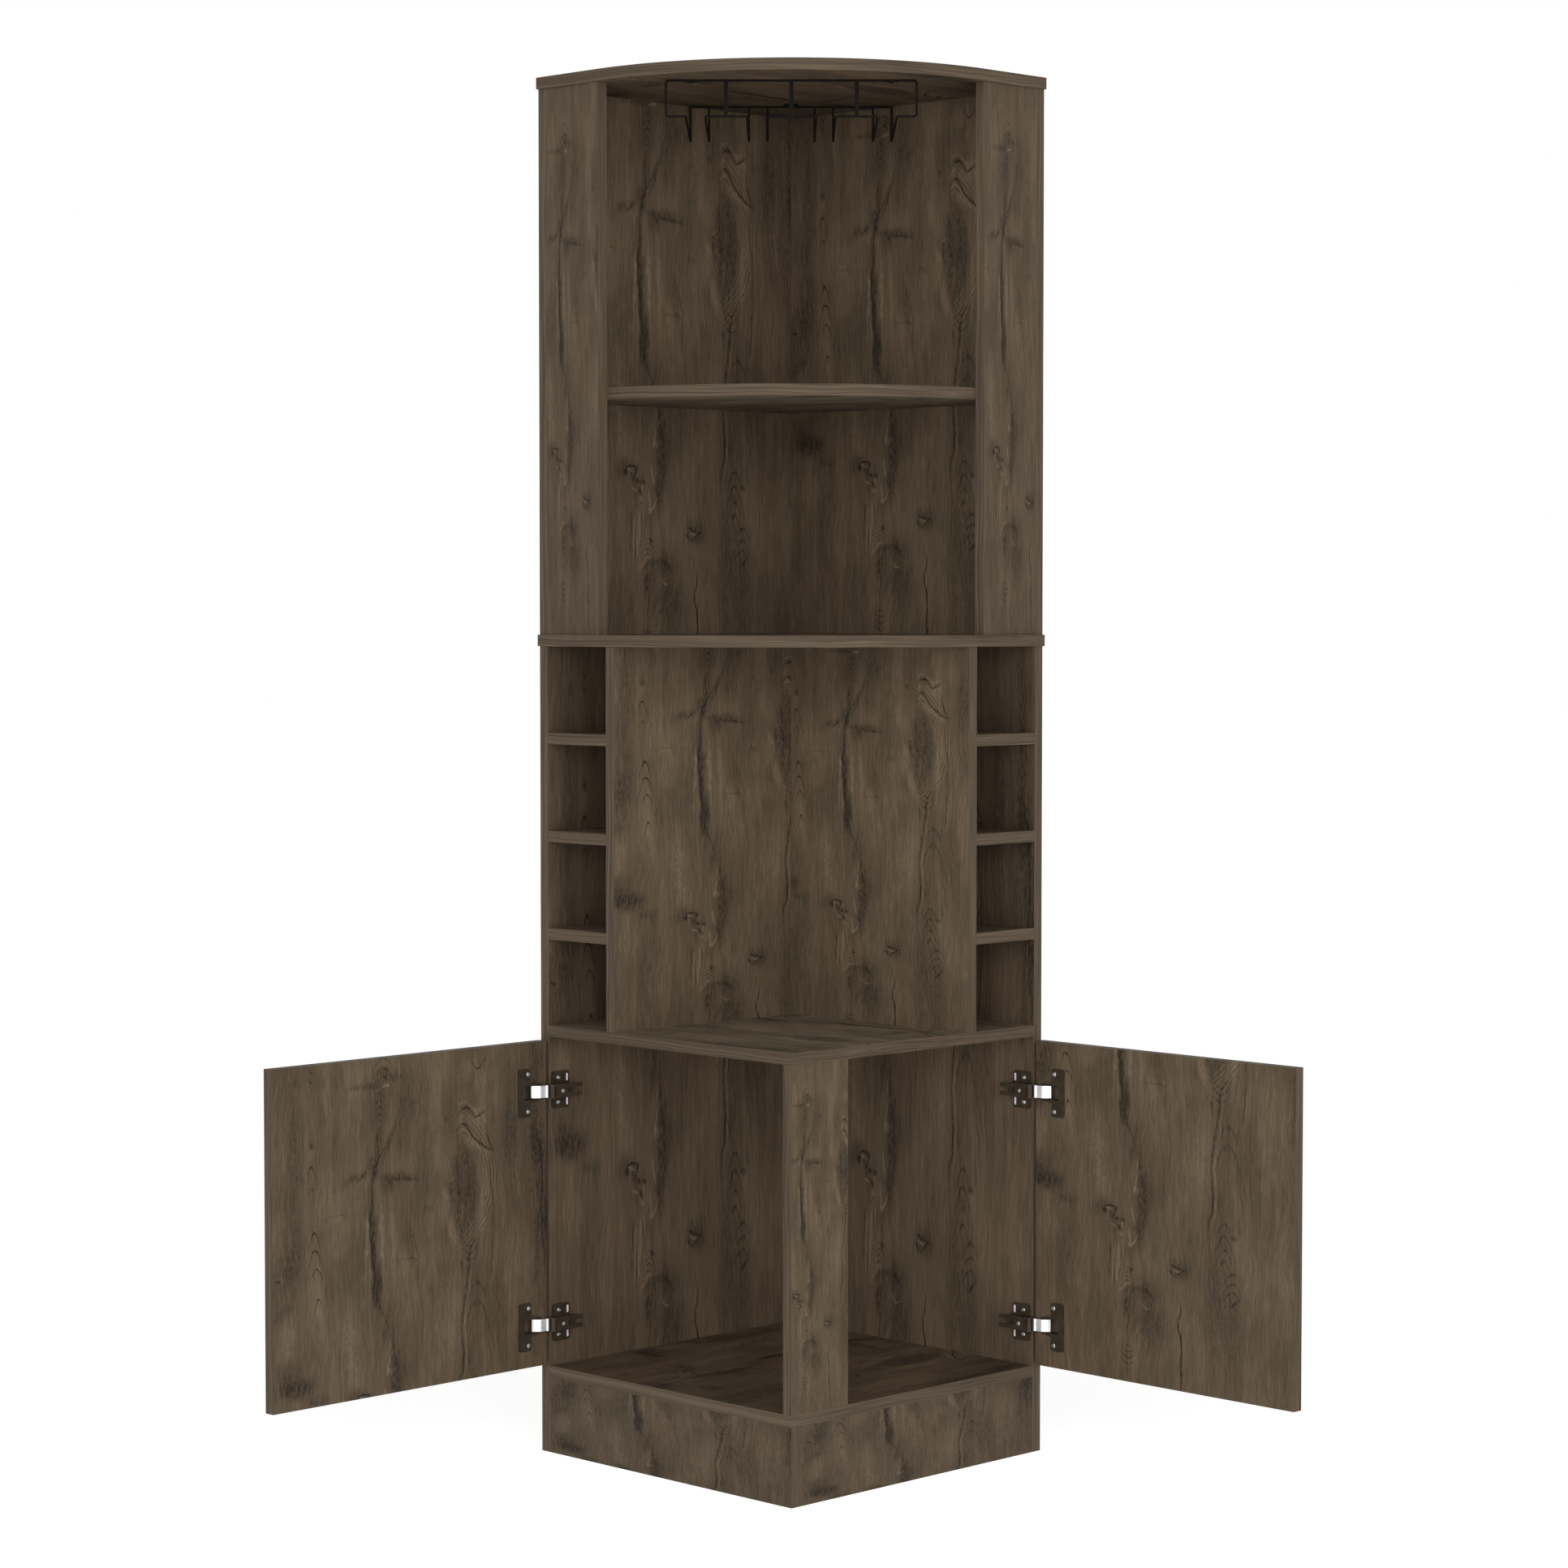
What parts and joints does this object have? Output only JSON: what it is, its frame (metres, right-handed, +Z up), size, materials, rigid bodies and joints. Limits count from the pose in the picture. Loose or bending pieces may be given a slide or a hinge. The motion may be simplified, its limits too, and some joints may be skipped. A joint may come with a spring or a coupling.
{
  "type": "corner bar cabinet",
  "caption": "Tall corner bar cabinet in brown oak-print board, with bottle cubbies, open shelves, a hanging glass rack and two hinged doors.",
  "frame": {"origin": "back corner of the left wall board at floor level, where the cabinet stands in the room's corner", "axes": "+Z up; +X out of the left wall board, along the right wall; +Y towards the right wall, so the cabinet lies at negative Y"},
  "size_m": [0.8945, 0.9195, 1.8],
  "materials": {
    "board_laminate": "matt brown oak print",
    "hinge_bronze": "satin bronze",
    "link_chrome": "bright",
    "screw_steel": "zinc plated",
    "cam_zinc": "dull zinc",
    "rack_black": "satin black",
    "dowel_beech": "raw beech"
  },
  "bodies": {
    "cabinet": {"lower_left_wall": "board_laminate", "lower_right_wall": "board_laminate", "upper_left_wall": "board_laminate", "upper_right_wall": "board_laminate", "top_panel": "board_laminate", "middle_panel": "board_laminate", "upper_shelf": "board_laminate", "counter": "board_laminate", "bottom_panel": "board_laminate", "left_stile": "board_laminate", "right_stile": "board_laminate", "left_divider": "board_laminate", "right_divider": "board_laminate", "left_bottle_shelf_1": "board_laminate", "left_bottle_shelf_2": "board_laminate", "left_bottle_shelf_3": "board_laminate", "right_bottle_shelf_1": "board_laminate", "right_bottle_shelf_2": "board_laminate", "right_bottle_shelf_3": "board_laminate", "left_plinth": "board_laminate", "right_plinth": "board_laminate", "corner_post": "board_laminate", "left_upper_hinge_plate": "hinge_bronze", "left_upper_hinge_arm": "hinge_bronze", "left_lower_hinge_plate": "hinge_bronze", "left_lower_hinge_arm": "hinge_bronze", "right_upper_hinge_plate": "hinge_bronze", "right_upper_hinge_arm": "hinge_bronze", "right_lower_hinge_plate": "hinge_bronze", "right_lower_hinge_arm": "hinge_bronze", "rack_outer_wire": "rack_black", "rack_loops": "rack_black", "rack_back_bar": "rack_black", "rack_straps": "rack_black", "rack_tabs": "rack_black", "rack_screws": "rack_black", "plate_screws": "screw_steel", "arm_screws": "screw_steel", "hinge_pins": "screw_steel", "left_wall_screws": "screw_steel", "right_wall_screws": "screw_steel", "inner_screws": "screw_steel", "cam_discs": "cam_zinc", "cam_bolts": "screw_steel", "lower_dowels": "dowel_beech", "shelf_dowels": "dowel_beech", "upper_dowels": "dowel_beech"},
    "left_door_body": {"left_door": "board_laminate", "left_upper_hinge_cup": "hinge_bronze", "left_lower_hinge_cup": "hinge_bronze", "left_cup_screws": "screw_steel"},
    "right_door_body": {"right_door": "board_laminate", "right_upper_hinge_cup": "hinge_bronze", "right_lower_hinge_cup": "hinge_bronze", "right_cup_screws": "screw_steel"},
    "left_links": {"left_upper_hinge_link": "link_chrome", "left_lower_hinge_link": "link_chrome"},
    "right_links": {"right_upper_hinge_link": "link_chrome", "right_lower_hinge_link": "link_chrome"}
  },
  "joints": [
    {"name": "left_door_hinge", "type": "hinge", "parent": "cabinet", "child": "left_door_body", "pos_m": [0.0075, -0.4745, 0.325], "axis": [0, 0, 1], "range_deg": [-20, 90]},
    {"name": "right_door_hinge", "type": "hinge", "parent": "cabinet", "child": "right_door_body", "pos_m": [0.4745, -0.0075, 0.325], "axis": [0, 0, -1], "range_deg": [-20, 90]},
    {"name": "left_link_hinge", "type": "hinge", "parent": "cabinet", "child": "left_links", "pos_m": [0.02, -0.473, 0.325], "axis": [0, 0, 1], "range_deg": [-23.5, 104]},
    {"name": "right_link_hinge", "type": "hinge", "parent": "cabinet", "child": "right_links", "pos_m": [0.473, -0.02, 0.325], "axis": [0, 0, -1], "range_deg": [-23.5, 104]}
  ],
  "couplings": [
    {"joint": "left_link_hinge", "follows": "left_door_hinge", "ratio": 1.15},
    {"joint": "right_link_hinge", "follows": "right_door_hinge", "ratio": 1.15}
  ]
}
